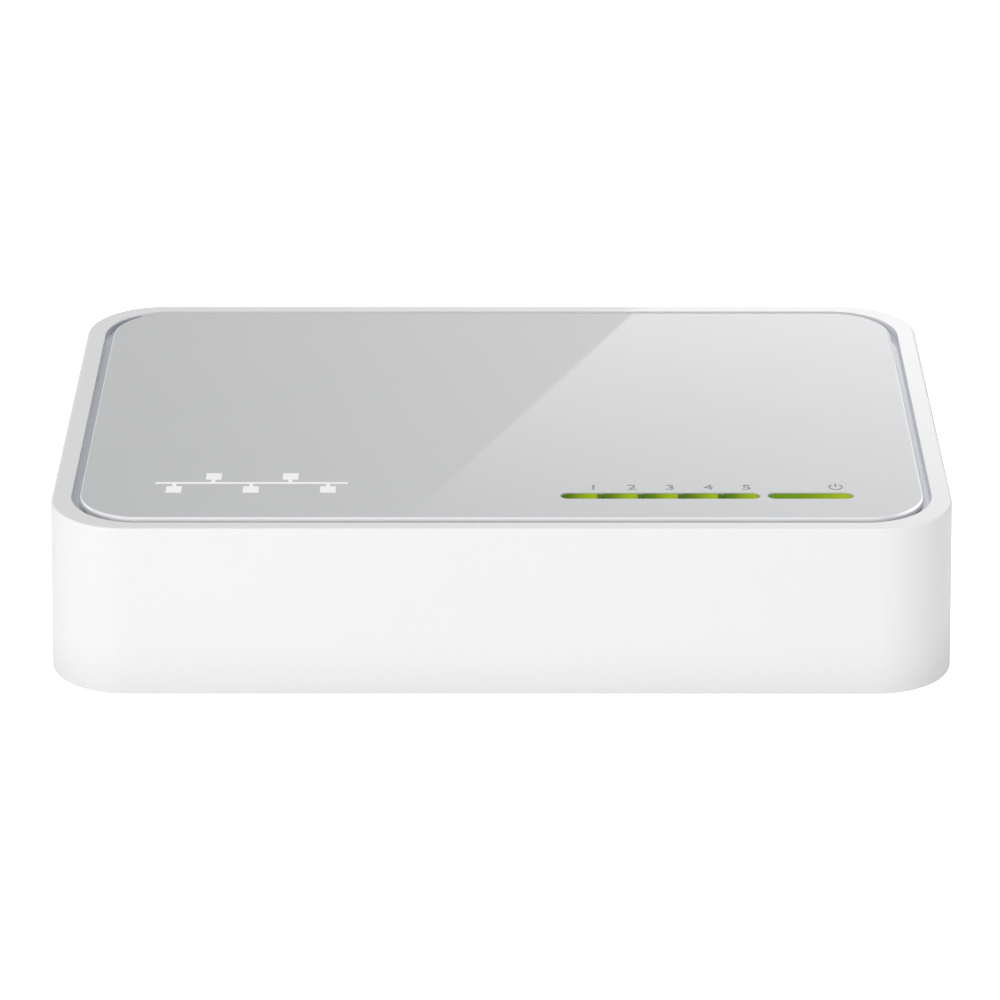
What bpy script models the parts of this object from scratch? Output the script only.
"""A five-port desktop network switch, built as the separate pieces that it comes apart into.

Metres, +Z up. The origin lies under the middle of the case, on the surface that the feet stand on.
The front, with the light windows, is at -Y. The ports and the power jack open at the rear, at +Y.
The case is sized round what it holds: its width follows from the row of connectors, and its height
from the stack of feet, floor, board, port block and lid.
"""

import math

import bmesh
import bpy
from mathutils import Matrix

MM = 0.001

# Clearances
GAP = 0.3 * MM  # between neighbouring pieces
FINE_GAP = 0.1 * MM  # round small pieces that sit in or on another
CUT_PAST = 2.0 * MM  # how far a cutter runs past the face that it opens
ROOT = 0.4 * MM  # how deep a joined boss or rib is sunk into its wall
HAIR = 0.02 * MM  # flat left between two corner rounds that nearly meet

# Case
CASE_DEPTH = 70.0 * MM
END_MARGIN = 10.825 * MM  # from the row of connectors to the side of the case
FOOT_STANDOFF = 1.4 * MM
WALL = 2.0 * MM
FLOOR = 2.0 * MM
SIDE_DRAFT = 0.5 * MM  # how far the left and right sides lean in over the height of the case
END_DRAFT = 0.1 * MM  # how far the front and the rear lean in
CASE_CORNER = 9.0 * MM
EDGE_FILLET = 0.35 * MM
HEADROOM = 1.0 * MM  # from the port block to the underside of the lid
CORNER_STEPS = 10

# Top plate, in its recess
SIDE_RIM = 2.25 * MM
END_RIM = 1.9 * MM  # at the front and the rear
GROOVE = 1.0 * MM
PLATE_CORNER = 7.0 * MM
PLATE_THICKNESS = 0.9 * MM
PLATE_PROUD = 0.2 * MM
PLATE_EDGE = 0.15 * MM

# Board and what fastens it
BOARD_THICKNESS = 1.6 * MM
BOARD_CORNER = 2.0 * MM
BOARD_FRONT_SPACE = 1.5 * MM  # from the front wall to the board
POST_HEIGHT = 1.6 * MM
POST_RADIUS = 2.2 * MM
POST_INSET = 4.5 * MM  # from the board's side edge
PIN_RADIUS = 1.0 * MM
PIN_ABOVE_BOARD = 0.5 * MM
SCREW_RADIUS = 1.05 * MM
SCREW_HEAD_RADIUS = 2.2 * MM
SCREW_HEAD = 1.3 * MM
BOARD_SCREW_LENGTH = 4.4 * MM
CASE_SCREW_LENGTH = 11.0 * MM
CASE_SCREW_Y = 0.0 * MM
BOSS_RADIUS = 2.4 * MM
BOSS_TO_WALL = 1.1 * MM
BOSS_RIB = 1.0 * MM
LOWER_BOSS = 2.6 * MM

# Port block: each cavity is a stack of latch slot, latch channel, plug space and roof
PORT_COUNT = 5
PORT_PITCH = 13.97 * MM
PORT_BLOCK_DEPTH = 15.5 * MM
CONNECTOR_RECESS = 0.7 * MM  # behind the rear plane of the case
BLOCK_FLOOR = 0.9 * MM
LATCH_SLOT = (3.3 * MM, 0.8 * MM)  # width, height
LATCH_CHANNEL = (6.4 * MM, 1.4 * MM)
PLUG_SPACE = (11.9 * MM, 6.7 * MM)
BLOCK_ROOF = 1.8 * MM
PLUG_DEPTH = 13.5 * MM
LATCH_DEPTH = 12.0 * MM

# Spring contacts
CONTACT_COUNT = 8
CONTACT_PITCH = 1.02 * MM
CONTACT_WIDTH = 0.45 * MM
CONTACT_THICKNESS = 0.3 * MM
CONTACT_LENGTH = 8.6 * MM
CONTACT_SLOPE = math.radians(13)
CONTACT_BAR_RADIUS = 0.45 * MM
CONTACT_BAR_INSET = 2.0 * MM  # from the face of the port block
CONTACT_GAP = 0.25 * MM

# Power jack
POWER_JACK_WIDTH = 9.0 * MM
POWER_JACK_DEPTH = 14.0 * MM
CONNECTOR_SPACING = 3.0 * MM  # from the port block to the power jack
POWER_BORE_RADIUS = 3.15 * MM
POWER_BORE_DEPTH = 10.0 * MM
POWER_BORE_HEIGHT = 6.4 * MM  # above the jack's underside
POWER_PIN_RADIUS = 1.0 * MM
POWER_PIN_LENGTH = 8.5 * MM
POWER_PIN_TIP = 0.4 * MM
LEAF_WIDTH = 2.4 * MM
LEAF_THICKNESS = 0.3 * MM
LEAF_LENGTH = 7.6 * MM
LEAF_RISE = 0.8 * MM
LEAF_DROP = 0.6 * MM  # pivot below the wall of the bore
LEAF_CHANNEL = 1.6 * MM  # channel below the wall of the bore

# Light windows
LIGHT_ROW_FRONT = 9.4 * MM  # from the front plane of the case
LIGHT_ROW_SIDE = 11.68 * MM  # from the side of the case to the end of the power window
SEGMENT = 3.98 * MM
POWER_SEGMENT = 9.32 * MM
DIVIDER = 0.6 * MM
WINDOW_BRIDGE = 0.9 * MM  # plate left between the two windows
WINDOW_WIDTH = 1.8 * MM
WINDOW_GAP = 0.2 * MM
GUIDE_BELOW_PLATE_TOP = 0.1 * MM
GUIDE_ABOVE_LED = 0.5 * MM
BAFFLE_WALL = 1.0 * MM
LED_SIZE = (1.9 * MM, 1.2 * MM, 0.8 * MM)
LED_SHIFT = 0.8 * MM  # the lamps sit towards the right of their cells

# Rubber feet
FOOT_RADIUS = 4.0 * MM
FOOT_INSET = 10.5 * MM
FOOT_POCKET = 0.7 * MM
FOOT_ROUND = 0.4 * MM

# Underside
VENT_COUNT = 6
VENT_PITCH = 3.2 * MM
VENT_WIDTH = 1.6 * MM
VENT_LENGTH = 16.0 * MM
VENT_GROUP_X = 24.0 * MM
LABEL_SIZE = (24.0 * MM, 34.0 * MM)
LABEL_SINK = 0.3 * MM
LABEL_CORNER = 1.5 * MM

# Snap tongues on the front edge of the bottom cover
TONGUE_WIDTH = 8.0 * MM
TONGUE_HEIGHT = 1.1 * MM
TONGUE_REACH = 0.9 * MM
TONGUE_X = 25.0 * MM

# Parts on the board
TRANSFORMER_SIZE = (15.0 * MM, 6.8 * MM, 4.2 * MM)
TRANSFORMER_SPACING = 19.0 * MM
TRANSFORMER_FIRST_X = -28.0 * MM
TRANSFORMER_TO_BLOCK = 2.2 * MM
CHIP_BODY = (12.0 * MM, 1.4 * MM)
CHIP_CORNER = 0.6 * MM
CHIP_X = -8.0 * MM
CHIP_LEADS = 12
CHIP_LEAD_PITCH = 0.8 * MM
CHIP_LEAD_SIZE = (0.35 * MM, 1.2 * MM, 0.3 * MM)
CRYSTAL_SIZE = (10.4 * MM, 4.4 * MM, 3.4 * MM)
CRYSTAL_X = -25.0 * MM
CAPACITORS = (  # x, radius, height
    (25.0 * MM, 3.0 * MM, 8.0 * MM),
    (32.5 * MM, 3.0 * MM, 8.0 * MM),
    (32.5 * MM, 2.5 * MM, 7.0 * MM),
)
CAPACITOR_ROWS = (7.0 * MM, 7.0 * MM, 14.5 * MM)  # from the back of the port block to each axis
CAPACITOR_GROOVE = 0.25 * MM
INDUCTOR_SIZE = (6.6 * MM, 6.6 * MM, 3.6 * MM)
INDUCTOR_X = 25.5 * MM
REGULATOR_SIZE = (6.5 * MM, 3.5 * MM, 1.6 * MM)
REGULATOR_TAB = (3.0 * MM, 1.6 * MM, 0.6 * MM)
REGULATOR_X = 11.0 * MM
DIODE_SIZE = (4.4 * MM, 2.6 * MM, 2.2 * MM)
PACK_SIZE = (3.2 * MM, 1.6 * MM, 0.6 * MM)
PACK_PITCH = 4.6 * MM
PACK_COUNT = 4
PACK_TO_CHIP = 3.0 * MM

# Worked out from the sizes above
PORT_BLOCK_WIDTH = PORT_COUNT * PORT_PITCH
PORT_BLOCK_HEIGHT = BLOCK_FLOOR + LATCH_SLOT[1] + LATCH_CHANNEL[1] + PLUG_SPACE[1] + BLOCK_ROOF
ROW_WIDTH = PORT_BLOCK_WIDTH + CONNECTOR_SPACING + POWER_JACK_WIDTH
CASE_WIDTH = ROW_WIDTH + 2 * END_MARGIN
FLOOR_TOP = FOOT_STANDOFF + FLOOR
BOARD_LOW = FLOOR_TOP + POST_HEIGHT + GAP
BOARD_TOP = BOARD_LOW + BOARD_THICKNESS
BLOCK_LOW = BOARD_TOP + GAP
BLOCK_TOP = BLOCK_LOW + PORT_BLOCK_HEIGHT
LID_UNDERSIDE = BLOCK_TOP + HEADROOM
CASE_TOP = LID_UNDERSIDE + WALL
PLATE_TOP = CASE_TOP + PLATE_PROUD
PLATE_LOW = PLATE_TOP - PLATE_THICKNESS
RECESS_LOW = PLATE_LOW - GAP
INNER_WIDTH = CASE_WIDTH - 2 * WALL
INNER_DEPTH = CASE_DEPTH - 2 * WALL
PLATE_WIDTH = CASE_WIDTH - 2 * (SIDE_DRAFT + SIDE_RIM + GROOVE)
PLATE_DEPTH = CASE_DEPTH - 2 * (END_DRAFT + END_RIM + GROOVE)
REAR = CASE_DEPTH / 2
CONNECTOR_FACE = REAR - CONNECTOR_RECESS
PORT_BLOCK_BACK = CONNECTOR_FACE - PORT_BLOCK_DEPTH
PORT_BLOCK_X = -ROW_WIDTH / 2 + PORT_BLOCK_WIDTH / 2
POWER_JACK_X = ROW_WIDTH / 2 - POWER_JACK_WIDTH / 2
NOTCH_TOP = BLOCK_TOP + GAP
CASE_SCREW_X = INNER_WIDTH / 2 - BOSS_TO_WALL - BOSS_RADIUS
BOARD_WIDTH = 2 * (CASE_SCREW_X - BOSS_RADIUS - GAP)
BOARD_FRONT = -INNER_DEPTH / 2 + BOARD_FRONT_SPACE
BOARD_REAR = INNER_DEPTH / 2 - ROOT - 2 * GAP
LIGHT_ROW_Y = -CASE_DEPTH / 2 + LIGHT_ROW_FRONT
GUIDE_WIDTH = WINDOW_WIDTH - 2 * WINDOW_GAP
GUIDE_LOW = BOARD_TOP + FINE_GAP + LED_SIZE[2] + GUIDE_ABOVE_LED
GUIDE_TOP = PLATE_TOP - GUIDE_BELOW_PLATE_TOP
BAFFLE_TOP = PLATE_LOW - GAP
POST_X = BOARD_WIDTH / 2 - POST_INSET
POST_FRONT_Y = LIGHT_ROW_Y + 8.0 * MM
POST_REAR_Y = PORT_BLOCK_BACK - 6.0 * MM
MIDDLE_Y = (LIGHT_ROW_Y + PORT_BLOCK_BACK) / 2
BOSS_MEET = FLOOR_TOP + LOWER_BOSS


def start_scene():
    """Clears the scene and makes the collections for the pieces and for the cutters."""
    for old in list(bpy.data.objects):
        bpy.data.objects.remove(old)
    parts = bpy.data.collections.new("network_switch")
    cutters = bpy.data.collections.new("cutters")
    for collection in (parts, cutters):
        bpy.context.scene.collection.children.link(collection)
    base = bpy.data.objects.new("network_switch_base", None)
    parts.objects.link(base)
    return parts, cutters, base


PARTS, CUTTERS, BASE = start_scene()


def material(name, colour, roughness, metallic=0.0):
    made = bpy.data.materials.new(name)
    made.use_nodes = True
    shader = made.node_tree.nodes["Principled BSDF"]
    shader.inputs["Base Color"].default_value = (*colour, 1.0)
    shader.inputs["Roughness"].default_value = roughness
    shader.inputs["Metallic"].default_value = metallic
    made.diffuse_color = (*colour, 1.0)
    return made


WHITE_PLASTIC = material("white_plastic", (0.86, 0.86, 0.86), 0.35)
SILVER_PLATE = material("silver_plate", (0.52, 0.54, 0.54), 0.15)
GREEN_GUIDE = material("green_guide", (0.35, 0.62, 0.05), 0.25)
BLACK_PLASTIC = material("black_plastic", (0.03, 0.03, 0.03), 0.45)
BOARD_GREEN = material("board_green", (0.02, 0.17, 0.07), 0.4)
GOLD = material("gold_contact", (0.85, 0.6, 0.2), 0.25, 1.0)
BRIGHT_METAL = material("bright_metal", (0.7, 0.7, 0.68), 0.3, 1.0)
RUBBER = material("rubber", (0.08, 0.08, 0.08), 0.85)
LAMP = material("lamp_body", (0.9, 0.9, 0.8), 0.5)
CAN_SLEEVE = material("can_sleeve", (0.04, 0.05, 0.12), 0.35)
CERAMIC = material("ceramic_body", (0.12, 0.12, 0.13), 0.6)


def add(name, mesh, surface=None, at=(0.0, 0.0, 0.0)):
    """Puts a mesh or curve in the scene as a piece of the switch."""
    piece = bpy.data.objects.new(name, mesh)
    piece.location = at
    piece.parent = BASE
    if surface and not mesh.materials:
        mesh.materials.append(surface)
    PARTS.objects.link(piece)
    return piece


def smooth(mesh):
    mesh.shade_smooth()
    mesh.set_sharp_from_angle(angle=math.radians(35))


def mesh_from(shape, name):
    mesh = bpy.data.meshes.new(name)
    shape.to_mesh(mesh)
    shape.free()
    smooth(mesh)
    return mesh


def block(name, size, at, surface=None, corner=0.0, lean=(0.0, 0.0), edge=0.0, steps=CORNER_STEPS):
    """A box of size (width, depth, height) standing with the middle of its base on the point at.

    Its upright edges are rounded by corner, its sides and its ends lean in by the two sizes of
    lean, and its top edge is marked for a fillet of edge.
    """
    width, depth, height = size
    shape = bmesh.new()
    bmesh.ops.create_cube(shape, size=1.0)
    for corner_point in shape.verts:
        side_inset, end_inset = (2 * inset if corner_point.co.z > 0 else 0.0 for inset in lean)
        corner_point.co.x *= width - side_inset
        corner_point.co.y *= depth - end_inset
        corner_point.co.z = height if corner_point.co.z > 0 else 0.0
    if corner:
        upright = [e for e in shape.edges if abs(e.verts[0].co.z - e.verts[1].co.z) > height / 2]
        bmesh.ops.bevel(
            shape,
            geom=upright,
            offset=corner,
            offset_type="OFFSET",
            segments=steps,
            profile=0.5,
            affect="EDGES",
        )
    if edge:
        weight = shape.edges.layers.float.new("bevel_weight_edge")
        for ring in shape.edges:
            if all(point.co.z > height - HAIR for point in ring.verts):
                ring[weight] = 1.0
    bmesh.ops.recalc_face_normals(shape, faces=shape.faces)
    piece = add(name, mesh_from(shape, name), surface, at)
    if edge:
        fillet(piece, edge)
    return piece


def fillet(piece, width, steps=3):
    bevel = piece.modifiers.new("edge_fillet", "BEVEL")
    bevel.limit_method = "WEIGHT"
    bevel.width = width
    bevel.segments = steps


def turned(name, profile, at, surface=None, steps=20, axis="Z"):
    """A turned piece: profile runs from its top down its outer side, as (radius, height) points."""
    shape = bmesh.new()
    points = [shape.verts.new((radius, 0.0, height)) for radius, height in profile]
    for first, second in zip(points, points[1:]):
        shape.edges.new((first, second))
    mesh = bpy.data.meshes.new(name)
    shape.to_mesh(mesh)
    shape.free()
    piece = add(name, mesh, surface, at)
    if axis == "Y":
        piece.rotation_euler = (-math.pi / 2, 0.0, 0.0)
    screw = piece.modifiers.new("turn", "SCREW")
    screw.axis = "Z"
    screw.steps = steps
    screw.render_steps = steps
    screw.use_merge_vertices = True
    screw.merge_threshold = 0.00001
    screw.use_smooth_shade = True
    return piece


def rod(name, radius, low, high, at, surface=None, steps=20, axis="Z"):
    """A plain round bar from low to high along its axis."""
    return turned(name, ((0.0, high), (radius, high), (radius, low), (0.0, low)), at, surface, steps, axis)


def combine(piece, operation, helpers):
    """Joins helpers to the piece, or cuts them out of it, in one exact step.

    The helpers are kept out of the finished object, in a collection of their own.
    """
    group = bpy.data.collections.new(f"{piece.name}_{operation.lower()}")
    CUTTERS.children.link(group)
    for helper in helpers:
        PARTS.objects.unlink(helper)
        group.objects.link(helper)
        helper.hide_render = True
        helper.display_type = "WIRE"
    boolean = piece.modifiers.new(group.name, "BOOLEAN")
    boolean.operation = operation
    boolean.solver = "EXACT"
    boolean.operand_type = "COLLECTION"
    boolean.collection = group


def cut(piece, *cutters):
    combine(piece, "DIFFERENCE", cutters)


def join(piece, *additions):
    combine(piece, "UNION", additions)


def frozen(piece, name):
    """The piece's finished mesh, with its modifiers applied. The piece itself is removed."""
    bpy.context.view_layer.update()
    graph = bpy.context.evaluated_depsgraph_get()
    mesh = bpy.data.meshes.new_from_object(piece.evaluated_get(graph))
    mesh.name = name
    bpy.data.objects.remove(piece)
    return mesh


def both_sides():
    return (("left", -1), ("right", 1))


def make_top_cover():
    """The white case: a tub open below, with a recess for the plate and a notch for the connectors."""
    height = CASE_TOP - FOOT_STANDOFF
    foot = (0.0, 0.0, FOOT_STANDOFF)
    size = (CASE_WIDTH, CASE_DEPTH, height)
    lean = (SIDE_DRAFT, END_DRAFT)
    cover = block("top_cover", size, foot, WHITE_PLASTIC, CASE_CORNER, lean, EDGE_FILLET)
    inside_height = LID_UNDERSIDE - FOOT_STANDOFF + CUT_PAST
    inside = (INNER_WIDTH, INNER_DEPTH, inside_height)
    inner_lean = tuple(inset * inside_height / height for inset in lean)
    below = (0.0, 0.0, FOOT_STANDOFF - CUT_PAST)
    hollow = block("inside", inside, below, corner=CASE_CORNER - WALL, lean=inner_lean)
    pockets = [tongue(f"tongue_pocket_{side}", sign * TONGUE_X, GAP) for side, sign in both_sides()]
    cut(cover, hollow, plate_recess(), light_window(), rear_notch(), *pockets)
    join(cover, *upper_bosses())
    return cover


def upper_bosses():
    """The hollow bosses that hang from the lid and take the case screws, with ribs to the side walls."""
    pilot_radius = SCREW_RADIUS + FINE_GAP
    pilot_top = FOOT_STANDOFF + SCREW_HEAD + CASE_SCREW_LENGTH + GAP
    profile = (
        (0.0, LID_UNDERSIDE + ROOT),
        (BOSS_RADIUS, LID_UNDERSIDE + ROOT),
        (BOSS_RADIUS, BOSS_MEET + GAP),
        (pilot_radius, BOSS_MEET + GAP),
        (pilot_radius, pilot_top),
        (0.0, pilot_top),
    )
    rib_low = BOSS_MEET + 2 * GAP
    rib = (BOSS_TO_WALL + 2 * ROOT, BOSS_RIB, LID_UNDERSIDE + ROOT / 2 - rib_low)
    made = []
    for side, sign in both_sides():
        made.append(turned(f"upper_boss_{side}", profile, (sign * CASE_SCREW_X, CASE_SCREW_Y, 0.0)))
        rib_x = sign * (CASE_SCREW_X + BOSS_RADIUS + BOSS_TO_WALL / 2)
        made.append(block(f"boss_rib_{side}", rib, (rib_x, CASE_SCREW_Y, rib_low)))
    return made


def plate_recess():
    size = (PLATE_WIDTH + 2 * GROOVE, PLATE_DEPTH + 2 * GROOVE, CASE_TOP + CUT_PAST - RECESS_LOW)
    return block("plate_recess", size, (0.0, 0.0, RECESS_LOW), corner=PLATE_CORNER + GROOVE)


def light_window():
    low, high, x = baffle_span()
    size = (high - low + 2 * GAP, baffle_depth() + 2 * GAP, 2 * CUT_PAST + WALL)
    return block("light_window", size, (x, LIGHT_ROW_Y, LID_UNDERSIDE - CUT_PAST))


def rear_notch():
    size = (ROW_WIDTH + 2 * GAP + 2 * CONNECTOR_SPACING, WALL + 2 * CUT_PAST, NOTCH_TOP)
    return block("rear_notch", size, (0.0, REAR - WALL / 2, 0.0))


def tongue(name, x, clearance):
    """A snap tongue on the front edge of the bottom cover, or its pocket when given a clearance."""
    reach = TONGUE_REACH + GAP + ROOT + clearance
    width = TONGUE_WIDTH + 2 * clearance
    size = (width, reach, TONGUE_HEIGHT + 2 * clearance)
    y = -INNER_DEPTH / 2 - TONGUE_REACH - clearance + reach / 2
    return block(name, size, (x, y, FLOOR_TOP - TONGUE_HEIGHT - clearance - FINE_GAP))


def make_bottom_cover():
    """The floor of the case, with the panel round the connectors, the posts and the vents."""
    size = (INNER_WIDTH - 2 * GAP, INNER_DEPTH - 2 * GAP, FLOOR)
    foot = (0.0, 0.0, FOOT_STANDOFF)
    cover = block("bottom_cover", size, foot, WHITE_PLASTIC, CASE_CORNER - WALL - GAP)
    additions = [rear_panel()]
    cutters = [
        connector_opening("port_opening", PORT_BLOCK_X, PORT_BLOCK_WIDTH),
        connector_opening("power_opening", POWER_JACK_X, POWER_JACK_WIDTH),
    ]
    for side, sign in both_sides():
        additions += (tongue(f"tongue_{side}", sign * TONGUE_X, 0.0), *posts(side, sign), lower_boss(side, sign))
        cutters += (post_pilot(side, sign), screw_hole(side, sign), *foot_pockets(side, sign), *vents(side, sign))
    label = (*LABEL_SIZE, LABEL_SINK + CUT_PAST)
    at = (0.0, 0.0, FOOT_STANDOFF - CUT_PAST)
    cutters.append(block("label_sink", label, at, corner=LABEL_CORNER, steps=4))
    join(cover, *additions)
    cut(cover, *cutters)
    return cover


def foot_places(sign):
    """(name, x, y) of the feet on one side."""
    x = sign * (CASE_WIDTH / 2 - FOOT_INSET)
    y = CASE_DEPTH / 2 - FOOT_INSET
    return (("front", x, -y), ("rear", x, y))


def foot_pockets(side, sign):
    pocket = (FOOT_RADIUS + FINE_GAP, -CUT_PAST, FOOT_POCKET)
    return [rod(f"foot_pocket_{end}_{side}", *pocket, (x, y, FOOT_STANDOFF)) for end, x, y in foot_places(sign)]


def vents(side, sign):
    size = (VENT_WIDTH, VENT_LENGTH, FLOOR + 2 * CUT_PAST)
    made = []
    for index in range(VENT_COUNT):
        x = sign * VENT_GROUP_X + (index - (VENT_COUNT - 1) / 2) * VENT_PITCH
        at = (x, 0.0, FOOT_STANDOFF - CUT_PAST)
        made.append(block(f"vent_{side}_{index + 1}", size, at, corner=VENT_WIDTH / 2 - HAIR, steps=5))
    return made


def rear_panel():
    """The upright part of the bottom cover, which fills the notch round the connectors."""
    width = ROW_WIDTH + 2 * CONNECTOR_SPACING
    height = NOTCH_TOP - GAP - FOOT_STANDOFF
    depth = WALL + GAP + ROOT
    panel = block("rear_panel", (width, depth, height), (0.0, REAR - depth / 2, FOOT_STANDOFF))
    for point in panel.data.vertices:
        if point.co.y > 0 and point.co.z > 0:
            point.co.y -= END_DRAFT * height / (CASE_TOP - FOOT_STANDOFF)
    return panel


def connector_opening(name, x, width):
    size = (width + 2 * GAP, WALL + 4 * CUT_PAST, PORT_BLOCK_HEIGHT + GAP + CUT_PAST)
    return block(name, size, (x, REAR, BLOCK_LOW - GAP))


def posts(side, sign):
    """The front posts take the board's screws, and the rear ones carry its locating pins."""
    x = sign * POST_X
    post = (POST_RADIUS, FLOOR_TOP - ROOT, FLOOR_TOP + POST_HEIGHT)
    pin = (PIN_RADIUS, FLOOR_TOP, BOARD_TOP + PIN_ABOVE_BOARD)
    return (
        rod(f"front_post_{side}", *post, (x, POST_FRONT_Y, 0.0)),
        rod(f"rear_post_{side}", *post, (x, POST_REAR_Y, 0.0)),
        rod(f"locating_pin_{side}", *pin, (x, POST_REAR_Y, 0.0)),
    )


def post_pilot(side, sign):
    pilot = (SCREW_RADIUS + FINE_GAP, BOARD_TOP - BOARD_SCREW_LENGTH - GAP, BOARD_TOP)
    return rod(f"post_pilot_{side}", *pilot, (sign * POST_X, POST_FRONT_Y, 0.0))


def lower_boss(side, sign):
    at = (sign * CASE_SCREW_X, CASE_SCREW_Y, 0.0)
    return rod(f"lower_boss_{side}", BOSS_RADIUS, FLOOR_TOP - ROOT, BOSS_MEET, at)


def screw_hole(side, sign):
    """The hole for a case screw, wider below for its head."""
    profile = (
        (0.0, BOSS_MEET + CUT_PAST),
        (SCREW_RADIUS + GAP, BOSS_MEET + CUT_PAST),
        (SCREW_RADIUS + GAP, FOOT_STANDOFF + SCREW_HEAD),
        (SCREW_HEAD_RADIUS + GAP, FOOT_STANDOFF + SCREW_HEAD),
        (SCREW_HEAD_RADIUS + GAP, 0.0),
        (0.0, 0.0),
    )
    return turned(f"screw_hole_{side}", profile, (sign * CASE_SCREW_X, CASE_SCREW_Y, 0.0))


def make_top_plate():
    """The silver plate, with one window for the five port lights and one for the power light."""
    size = (PLATE_WIDTH, PLATE_DEPTH, PLATE_THICKNESS)
    plate = block("top_plate", size, (0.0, 0.0, PLATE_LOW), SILVER_PLATE, PLATE_CORNER, edge=PLATE_EDGE)
    openings = []
    for name, low, high in windows():
        opening = (high - low, WINDOW_WIDTH, PLATE_THICKNESS + 2 * CUT_PAST)
        at = ((low + high) / 2, LIGHT_ROW_Y, PLATE_LOW - CUT_PAST)
        openings.append(block(name, opening, at, corner=WINDOW_WIDTH / 2 - HAIR, steps=6))
    cut(plate, *openings)
    return plate


def windows():
    """(name, low x, high x) of the two windows in the plate."""
    guides = light_guides()
    power = guides[-1]
    return (
        ("port_window", guides[0][1] - WINDOW_GAP, guides[PORT_COUNT - 1][2] + WINDOW_GAP),
        ("power_window", power[1] - WINDOW_GAP, power[2] + WINDOW_GAP),
    )


def light_guides():
    """(name, low x, high x) of each light guide, from left to right."""
    power_high = CASE_WIDTH / 2 - LIGHT_ROW_SIDE - WINDOW_GAP
    power_low = power_high - POWER_SEGMENT
    ports_high = power_low - 2 * WINDOW_GAP - WINDOW_BRIDGE
    guides = []
    for index in range(PORT_COUNT):
        high = ports_high - (PORT_COUNT - 1 - index) * (SEGMENT + DIVIDER)
        guides.append((str(index + 1), high - SEGMENT, high))
    return (*guides, ("power", power_low, power_high))


def baffle_span():
    """The low and high x of the light baffle, and its middle."""
    guides = light_guides()
    low = guides[0][1] - FINE_GAP - BAFFLE_WALL
    high = guides[-1][2] + FINE_GAP + BAFFLE_WALL
    return low, high, (low + high) / 2


def baffle_depth():
    return GUIDE_WIDTH + 2 * FINE_GAP + 2 * BAFFLE_WALL


def make_lights():
    """The lamps on the board, their clear guides, and the black baffle that keeps them apart."""
    low, high, x = baffle_span()
    size = (high - low, baffle_depth(), BAFFLE_TOP - BLOCK_LOW)
    baffle = block("light_baffle", size, (x, LIGHT_ROW_Y, BLOCK_LOW), BLACK_PLASTIC)
    cells = []
    for name, guide_low, guide_high in light_guides():
        width = guide_high - guide_low
        x = (guide_low + guide_high) / 2
        cell = (width + 2 * FINE_GAP, GUIDE_WIDTH + 2 * FINE_GAP, 2 * CASE_TOP)
        cells.append(block(f"light_cell_{name}", cell, (x, LIGHT_ROW_Y, 0.0)))
        size = (width, GUIDE_WIDTH, GUIDE_TOP - GUIDE_LOW)
        guide = block(f"light_guide_{name}", size, (x, LIGHT_ROW_Y, GUIDE_LOW), GREEN_GUIDE)
        round_outer_ends(guide, name)
        at = (x + LED_SHIFT, LIGHT_ROW_Y, BOARD_TOP + FINE_GAP)
        block(f"led_{name}", LED_SIZE, at, LAMP)
    cut(baffle, *cells)


def round_outer_ends(guide, name):
    """Rounds the guides that lie at the ends of a window, as the window's own ends are round."""
    ends = {"1": (-1,), str(PORT_COUNT): (1,), "power": (-1, 1)}.get(name, ())
    shape = bmesh.new()
    shape.from_mesh(guide.data)
    middle = guide.dimensions.z / 2
    upright = [
        edge
        for edge in shape.edges
        if abs(edge.verts[0].co.z - edge.verts[1].co.z) > middle
        and any(edge.verts[0].co.x * end > 0 for end in ends)
    ]
    if upright:
        radius = GUIDE_WIDTH / 2 - HAIR
        bmesh.ops.bevel(shape, geom=upright, offset=radius, segments=5, profile=0.5, affect="EDGES")
    shape.to_mesh(guide.data)
    shape.free()
    smooth(guide.data)


def make_main_board():
    """The circuit board, with holes for its two screws and its two locating pins."""
    size = (BOARD_WIDTH, BOARD_REAR - BOARD_FRONT, BOARD_THICKNESS)
    at = (0.0, (BOARD_REAR + BOARD_FRONT) / 2, BOARD_LOW)
    board = block("main_board", size, at, BOARD_GREEN, BOARD_CORNER, steps=4)
    holes = []
    for side, sign in both_sides():
        for end, radius, y in (
            ("front", SCREW_RADIUS, POST_FRONT_Y),
            ("rear", PIN_RADIUS, POST_REAR_Y),
        ):
            hole = (radius + GAP, 0.0, 2 * BOARD_TOP)
            holes.append(rod(f"board_hole_{end}_{side}", *hole, (sign * POST_X, y, 0.0)))
    cut(board, *holes)
    return board


def port_x(index):
    """The middle of a port, counted from 0 at the left as seen from the front."""
    return PORT_BLOCK_X + (index - (PORT_COUNT - 1) / 2) * PORT_PITCH


def make_port_block():
    """The black moulding that holds all the ports, with a stepped opening for each plug."""
    size = (PORT_BLOCK_WIDTH, PORT_BLOCK_DEPTH, PORT_BLOCK_HEIGHT)
    at = (PORT_BLOCK_X, (CONNECTOR_FACE + PORT_BLOCK_BACK) / 2, BLOCK_LOW)
    ports = block("port_block", size, at, BLACK_PLASTIC)
    slot_low = BLOCK_LOW + BLOCK_FLOOR
    channel_low = slot_low + LATCH_SLOT[1]
    space_low = channel_low + LATCH_CHANNEL[1]
    steps = []
    for index in range(PORT_COUNT):
        x = port_x(index)
        label = index + 1
        slot_depth = LATCH_DEPTH - ROOT
        steps.append(port_cut(f"plug_space_{label}", x, PLUG_SPACE, PLUG_DEPTH, space_low, 0.0))
        steps.append(port_cut(f"latch_channel_{label}", x, LATCH_CHANNEL, LATCH_DEPTH, channel_low, ROOT))
        steps.append(port_cut(f"latch_slot_{label}", x, LATCH_SLOT, slot_depth, slot_low, ROOT))
        steps.append(contact_chamber(f"contact_chamber_{label}", x))
    cut(ports, *steps)
    return ports


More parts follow.
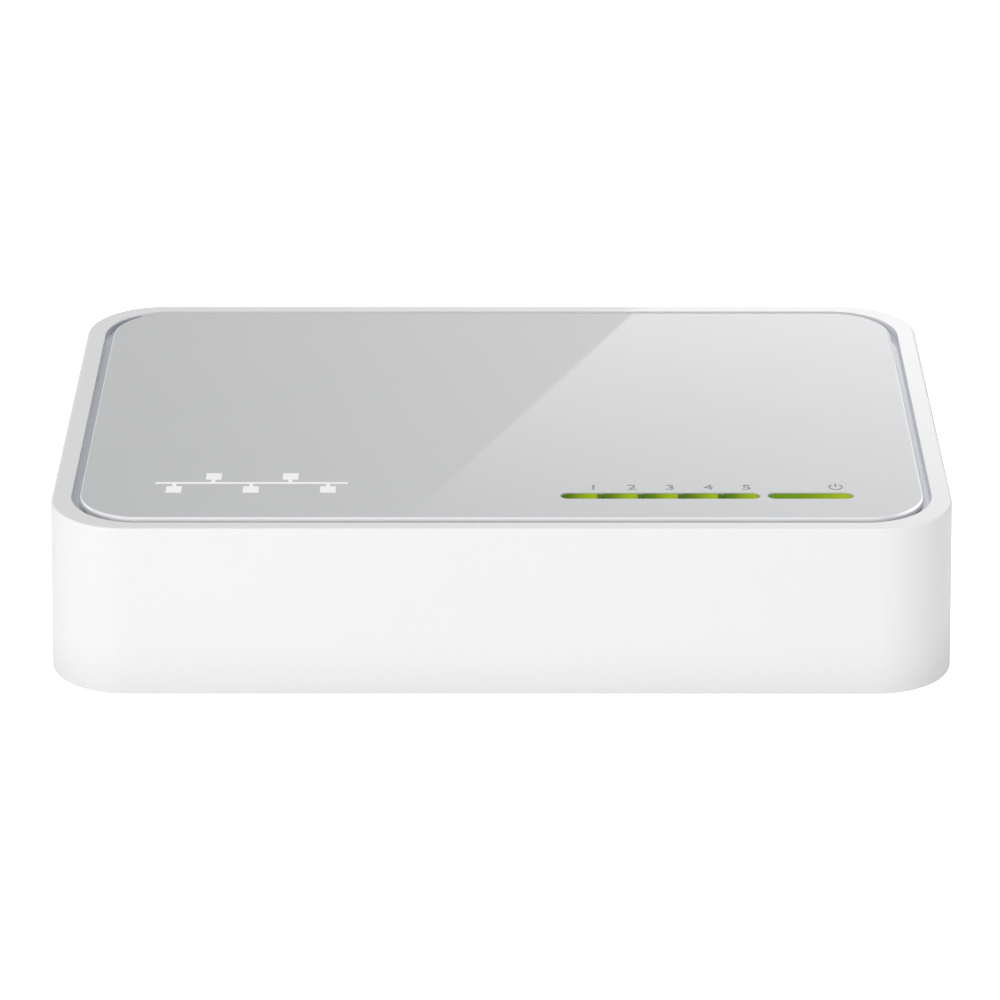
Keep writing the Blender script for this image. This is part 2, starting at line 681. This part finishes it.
def port_cut(name, x, opening, depth, low, overlap):
    """A cutter for one step of a port, reaching overlap up into the step above it."""
    width, height = opening
    size = (width, depth + CUT_PAST, height + overlap)
    return block(name, size, (x, CONNECTOR_FACE + CUT_PAST - size[1] / 2, low))


def contact_pivot(index):
    ceiling = BLOCK_TOP - BLOCK_ROOF
    return (port_x(index), CONNECTOR_FACE - CONTACT_BAR_INSET, ceiling + CONTACT_BAR_RADIUS)


def contact_chamber(name, x):
    """The space over the plug where the contacts lie, with room for them to be pushed up."""
    width = CONTACT_COUNT * CONTACT_PITCH + 2 * (CONTACT_GAP + CONTACT_BAR_RADIUS)
    front = CONNECTOR_FACE - CONTACT_BAR_INSET + CONTACT_BAR_RADIUS + CONTACT_GAP
    back = CONNECTOR_FACE - CONTACT_BAR_INSET - CONTACT_LENGTH - 2 * CONTACT_GAP
    ceiling = BLOCK_TOP - BLOCK_ROOF
    height = 2 * CONTACT_BAR_RADIUS + CONTACT_GAP + ROOT
    return block(name, (width, front - back, height), (x, (front + back) / 2, ceiling - ROOT))


def make_contacts():
    """A set of eight spring contacts for each port, turning about the bar that they are rooted in."""
    bar_length = CONTACT_COUNT * CONTACT_PITCH + 2 * CONTACT_BAR_RADIUS
    bar = rod("contact_bar", CONTACT_BAR_RADIUS, -bar_length / 2, bar_length / 2, (0, 0, 0), GOLD, 12)
    bar.rotation_euler = (0.0, math.pi / 2, 0.0)
    tines = bmesh.new()
    for index in range(CONTACT_COUNT):
        x = (index - (CONTACT_COUNT - 1) / 2) * CONTACT_PITCH
        place = Matrix.Translation((x, 0.0, 0.0)) @ Matrix.Rotation(CONTACT_SLOPE, 4, "X")
        place @= Matrix.Translation((0.0, -CONTACT_LENGTH / 2, 0.0))
        size = (CONTACT_WIDTH, CONTACT_LENGTH, CONTACT_THICKNESS)
        bmesh.ops.create_cube(tines, size=1.0, matrix=place @ Matrix.Diagonal((*size, 1.0)))
    join(bar, add("contact_tines", mesh_from(tines, "contact_tines"), GOLD))
    mesh = frozen_at_origin(bar, "port_contacts")
    for index in range(PORT_COUNT):
        add(f"port_contacts_{index + 1}", mesh, GOLD, contact_pivot(index))


def frozen_at_origin(piece, name):
    """A finished mesh with its turn applied, so that its copies need only a place."""
    turn = piece.rotation_euler.to_matrix().to_4x4()
    mesh = frozen(piece, name)
    mesh.transform(turn)
    smooth(mesh)
    return mesh


def make_power_jack():
    """The round power inlet: a black body, its centre pin and its leaf spring."""
    size = (POWER_JACK_WIDTH, POWER_JACK_DEPTH, PORT_BLOCK_HEIGHT)
    at = (POWER_JACK_X, CONNECTOR_FACE - POWER_JACK_DEPTH / 2, BLOCK_LOW)
    jack = block("power_jack", size, at, BLACK_PLASTIC)
    axis_height = BLOCK_LOW + POWER_BORE_HEIGHT
    mouth = (POWER_JACK_X, CONNECTOR_FACE, axis_height)
    bore = rod("power_bore", POWER_BORE_RADIUS, -POWER_BORE_DEPTH, CUT_PAST, mouth, steps=24, axis="Y")
    channel_low = axis_height - POWER_BORE_RADIUS - LEAF_CHANNEL
    channel = (LEAF_WIDTH + 2 * GAP, LEAF_LENGTH + 4 * GAP, LEAF_CHANNEL + POWER_BORE_RADIUS)
    channel_y = leaf_pivot()[1] + LEAF_LENGTH / 2
    cut(jack, bore, block("leaf_channel", channel, (POWER_JACK_X, channel_y, channel_low)))
    pin_root = CONNECTOR_FACE - POWER_BORE_DEPTH + GAP
    pin = (
        (0.0, POWER_PIN_LENGTH),
        (POWER_PIN_RADIUS - POWER_PIN_TIP, POWER_PIN_LENGTH),
        (POWER_PIN_RADIUS, POWER_PIN_LENGTH - POWER_PIN_TIP),
        (POWER_PIN_RADIUS, 0.0),
        (0.0, 0.0),
    )
    turned("power_jack_pin", pin, (POWER_JACK_X, pin_root, axis_height), BRIGHT_METAL, 16, "Y")
    make_leaf()


def leaf_pivot():
    y = CONNECTOR_FACE - POWER_BORE_DEPTH + 2 * GAP
    return (POWER_JACK_X, y, BLOCK_LOW + POWER_BORE_HEIGHT - POWER_BORE_RADIUS - LEAF_DROP)


def make_leaf():
    """The bent leaf spring under the bore: it rises towards the mouth and dips again at its end."""
    outline = bpy.data.curves.new("leaf_outline", "CURVE")
    outline.dimensions = "2D"
    outline.fill_mode = "BOTH"
    outline.extrude = LEAF_WIDTH / 2
    crest = 0.75 * LEAF_LENGTH
    upper = ((0.0, 0.0), (crest, LEAF_RISE), (LEAF_LENGTH, LEAF_RISE / 2))
    lower = [(along, up - LEAF_THICKNESS) for along, up in reversed(upper)]
    spline = outline.splines.new("POLY")
    spline.points.add(2 * len(upper) - 1)
    for point, (along, up) in zip(spline.points, (*upper, *lower)):
        point.co = (along, up, 0.0, 1.0)
    spline.use_cyclic_u = True
    leaf = add("power_jack_spring", outline, BRIGHT_METAL, leaf_pivot())
    leaf.rotation_euler = (math.pi / 2, 0.0, math.pi / 2)


def make_board_parts():
    """What the board carries: the switching chip, transformers, crystal and power parts."""
    seat = BOARD_TOP + FINE_GAP
    for index in range(3):
        x = TRANSFORMER_FIRST_X + index * TRANSFORMER_SPACING
        y = PORT_BLOCK_BACK - TRANSFORMER_TO_BLOCK - TRANSFORMER_SIZE[1] / 2
        block(f"transformer_{index + 1}", TRANSFORMER_SIZE, (x, y, seat), CERAMIC, 0.4 * MM, steps=2, edge=0.3 * MM)
    make_chip(seat)
    block("crystal", CRYSTAL_SIZE, (CRYSTAL_X, MIDDLE_Y, seat), BRIGHT_METAL, CRYSTAL_SIZE[1] / 2 - HAIR, steps=6, edge=0.4 * MM)
    make_capacitors(seat)
    inductor_at = (INDUCTOR_X, MIDDLE_Y - CHIP_BODY[0] / 2, seat)
    block("inductor", INDUCTOR_SIZE, inductor_at, CERAMIC, 1.4 * MM, steps=3, edge=0.3 * MM)
    regulator_at = (REGULATOR_X, MIDDLE_Y - CHIP_BODY[0] / 2, seat)
    regulator = block("regulator", REGULATOR_SIZE, regulator_at, CERAMIC)
    tab_at = (REGULATOR_X, regulator_at[1] + REGULATOR_SIZE[1] / 2 + REGULATOR_TAB[1] / 2 - ROOT, seat + FINE_GAP)
    join(regulator, block("regulator_tab", REGULATOR_TAB, tab_at))
    diode_at = (POWER_JACK_X, CONNECTOR_FACE - POWER_JACK_DEPTH - DIODE_SIZE[1], seat)
    block("diode", DIODE_SIZE, diode_at, CERAMIC, edge=0.2 * MM)
    for index in range(PACK_COUNT):
        x = CHIP_X + (index - (PACK_COUNT - 1) / 2) * PACK_PITCH
        y = MIDDLE_Y - CHIP_BODY[0] / 2 - CHIP_LEAD_SIZE[1] - PACK_TO_CHIP
        block(f"resistor_pack_{index + 1}", PACK_SIZE, (x, y, seat), CERAMIC)


def make_chip(seat):
    """The switching chip: a flat black body with a row of leads on each side."""
    side, height = CHIP_BODY
    chip = block("switch_chip", (side, side, height), (CHIP_X, MIDDLE_Y, seat + FINE_GAP), CERAMIC, CHIP_CORNER, steps=2)
    leads = bmesh.new()
    width, length, thickness = CHIP_LEAD_SIZE
    for quarter in range(4):
        turn = Matrix.Rotation(quarter * math.pi / 2, 4, "Z")
        for index in range(CHIP_LEADS):
            across = (index - (CHIP_LEADS - 1) / 2) * CHIP_LEAD_PITCH
            place = turn @ Matrix.Translation((across, side / 2 + length / 2 - ROOT, 2 * thickness))
            bmesh.ops.create_cube(leads, size=1.0, matrix=place @ Matrix.Diagonal((width, length, thickness, 1.0)))
    join(chip, add("chip_leads", mesh_from(leads, "chip_leads"), BRIGHT_METAL, (CHIP_X, MIDDLE_Y, seat)))


def make_capacitors(seat):
    """Upright cans, each with the rolled groove near its base."""
    for index, ((x, radius, height), row) in enumerate(zip(CAPACITORS, CAPACITOR_ROWS)):
        groove = radius - CAPACITOR_GROOVE
        profile = (
            (0.0, height),
            (groove, height),
            (radius, height - CAPACITOR_GROOVE),
            (radius, 4 * CAPACITOR_GROOVE),
            (groove, 3 * CAPACITOR_GROOVE),
            (radius, 2 * CAPACITOR_GROOVE),
            (radius, 0.0),
            (0.0, 0.0),
        )
        at = (x, PORT_BLOCK_BACK - row, seat)
        turned(f"capacitor_{index + 1}", profile, at, CAN_SLEEVE)


def make_feet():
    """Four round rubber feet in the pockets of the bottom cover."""
    top = FOOT_STANDOFF + FOOT_POCKET - GAP
    profile = (
        (0.0, top),
        (FOOT_RADIUS, top),
        (FOOT_RADIUS, FOOT_ROUND),
        (FOOT_RADIUS - 0.3 * FOOT_ROUND, 0.3 * FOOT_ROUND),
        (FOOT_RADIUS - FOOT_ROUND, 0.0),
        (0.0, 0.0),
    )
    for side, sign in both_sides():
        for end, x, y in foot_places(sign):
            turned(f"foot_{end}_{side}", profile, (x, y, 0.0), RUBBER, 24)


def screw_profile(length, head):
    """A screw that stands on its tip: the shank below height 0, and the head above it."""
    return (
        (0.0, head),
        (SCREW_HEAD_RADIUS - head / 2, head),
        (SCREW_HEAD_RADIUS, head / 2),
        (SCREW_HEAD_RADIUS, 0.0),
        (SCREW_RADIUS, 0.0),
        (SCREW_RADIUS, SCREW_RADIUS - length),
        (SCREW_RADIUS / 2, -length),
        (0.0, -length),
    )


def make_screws():
    """Two screws hold the board to the bottom cover, and two hold the two halves of the case."""
    board_screw = screw_profile(BOARD_SCREW_LENGTH - GAP, SCREW_HEAD)
    case_screw = screw_profile(CASE_SCREW_LENGTH - GAP, SCREW_HEAD - GAP)
    for side, sign in both_sides():
        at = (sign * POST_X, POST_FRONT_Y, BOARD_TOP + GAP)
        turned(f"board_screw_{side}", board_screw, at, BRIGHT_METAL, 16)
        at = (sign * CASE_SCREW_X, CASE_SCREW_Y, FOOT_STANDOFF + SCREW_HEAD - GAP)
        screw = turned(f"case_screw_{side}", case_screw, at, BRIGHT_METAL, 16)
        screw.rotation_euler = (math.pi, 0.0, 0.0)


make_top_cover()
make_bottom_cover()
make_top_plate()
make_lights()
make_main_board()
make_port_block()
make_contacts()
make_power_jack()
make_board_parts()
make_feet()
make_screws()
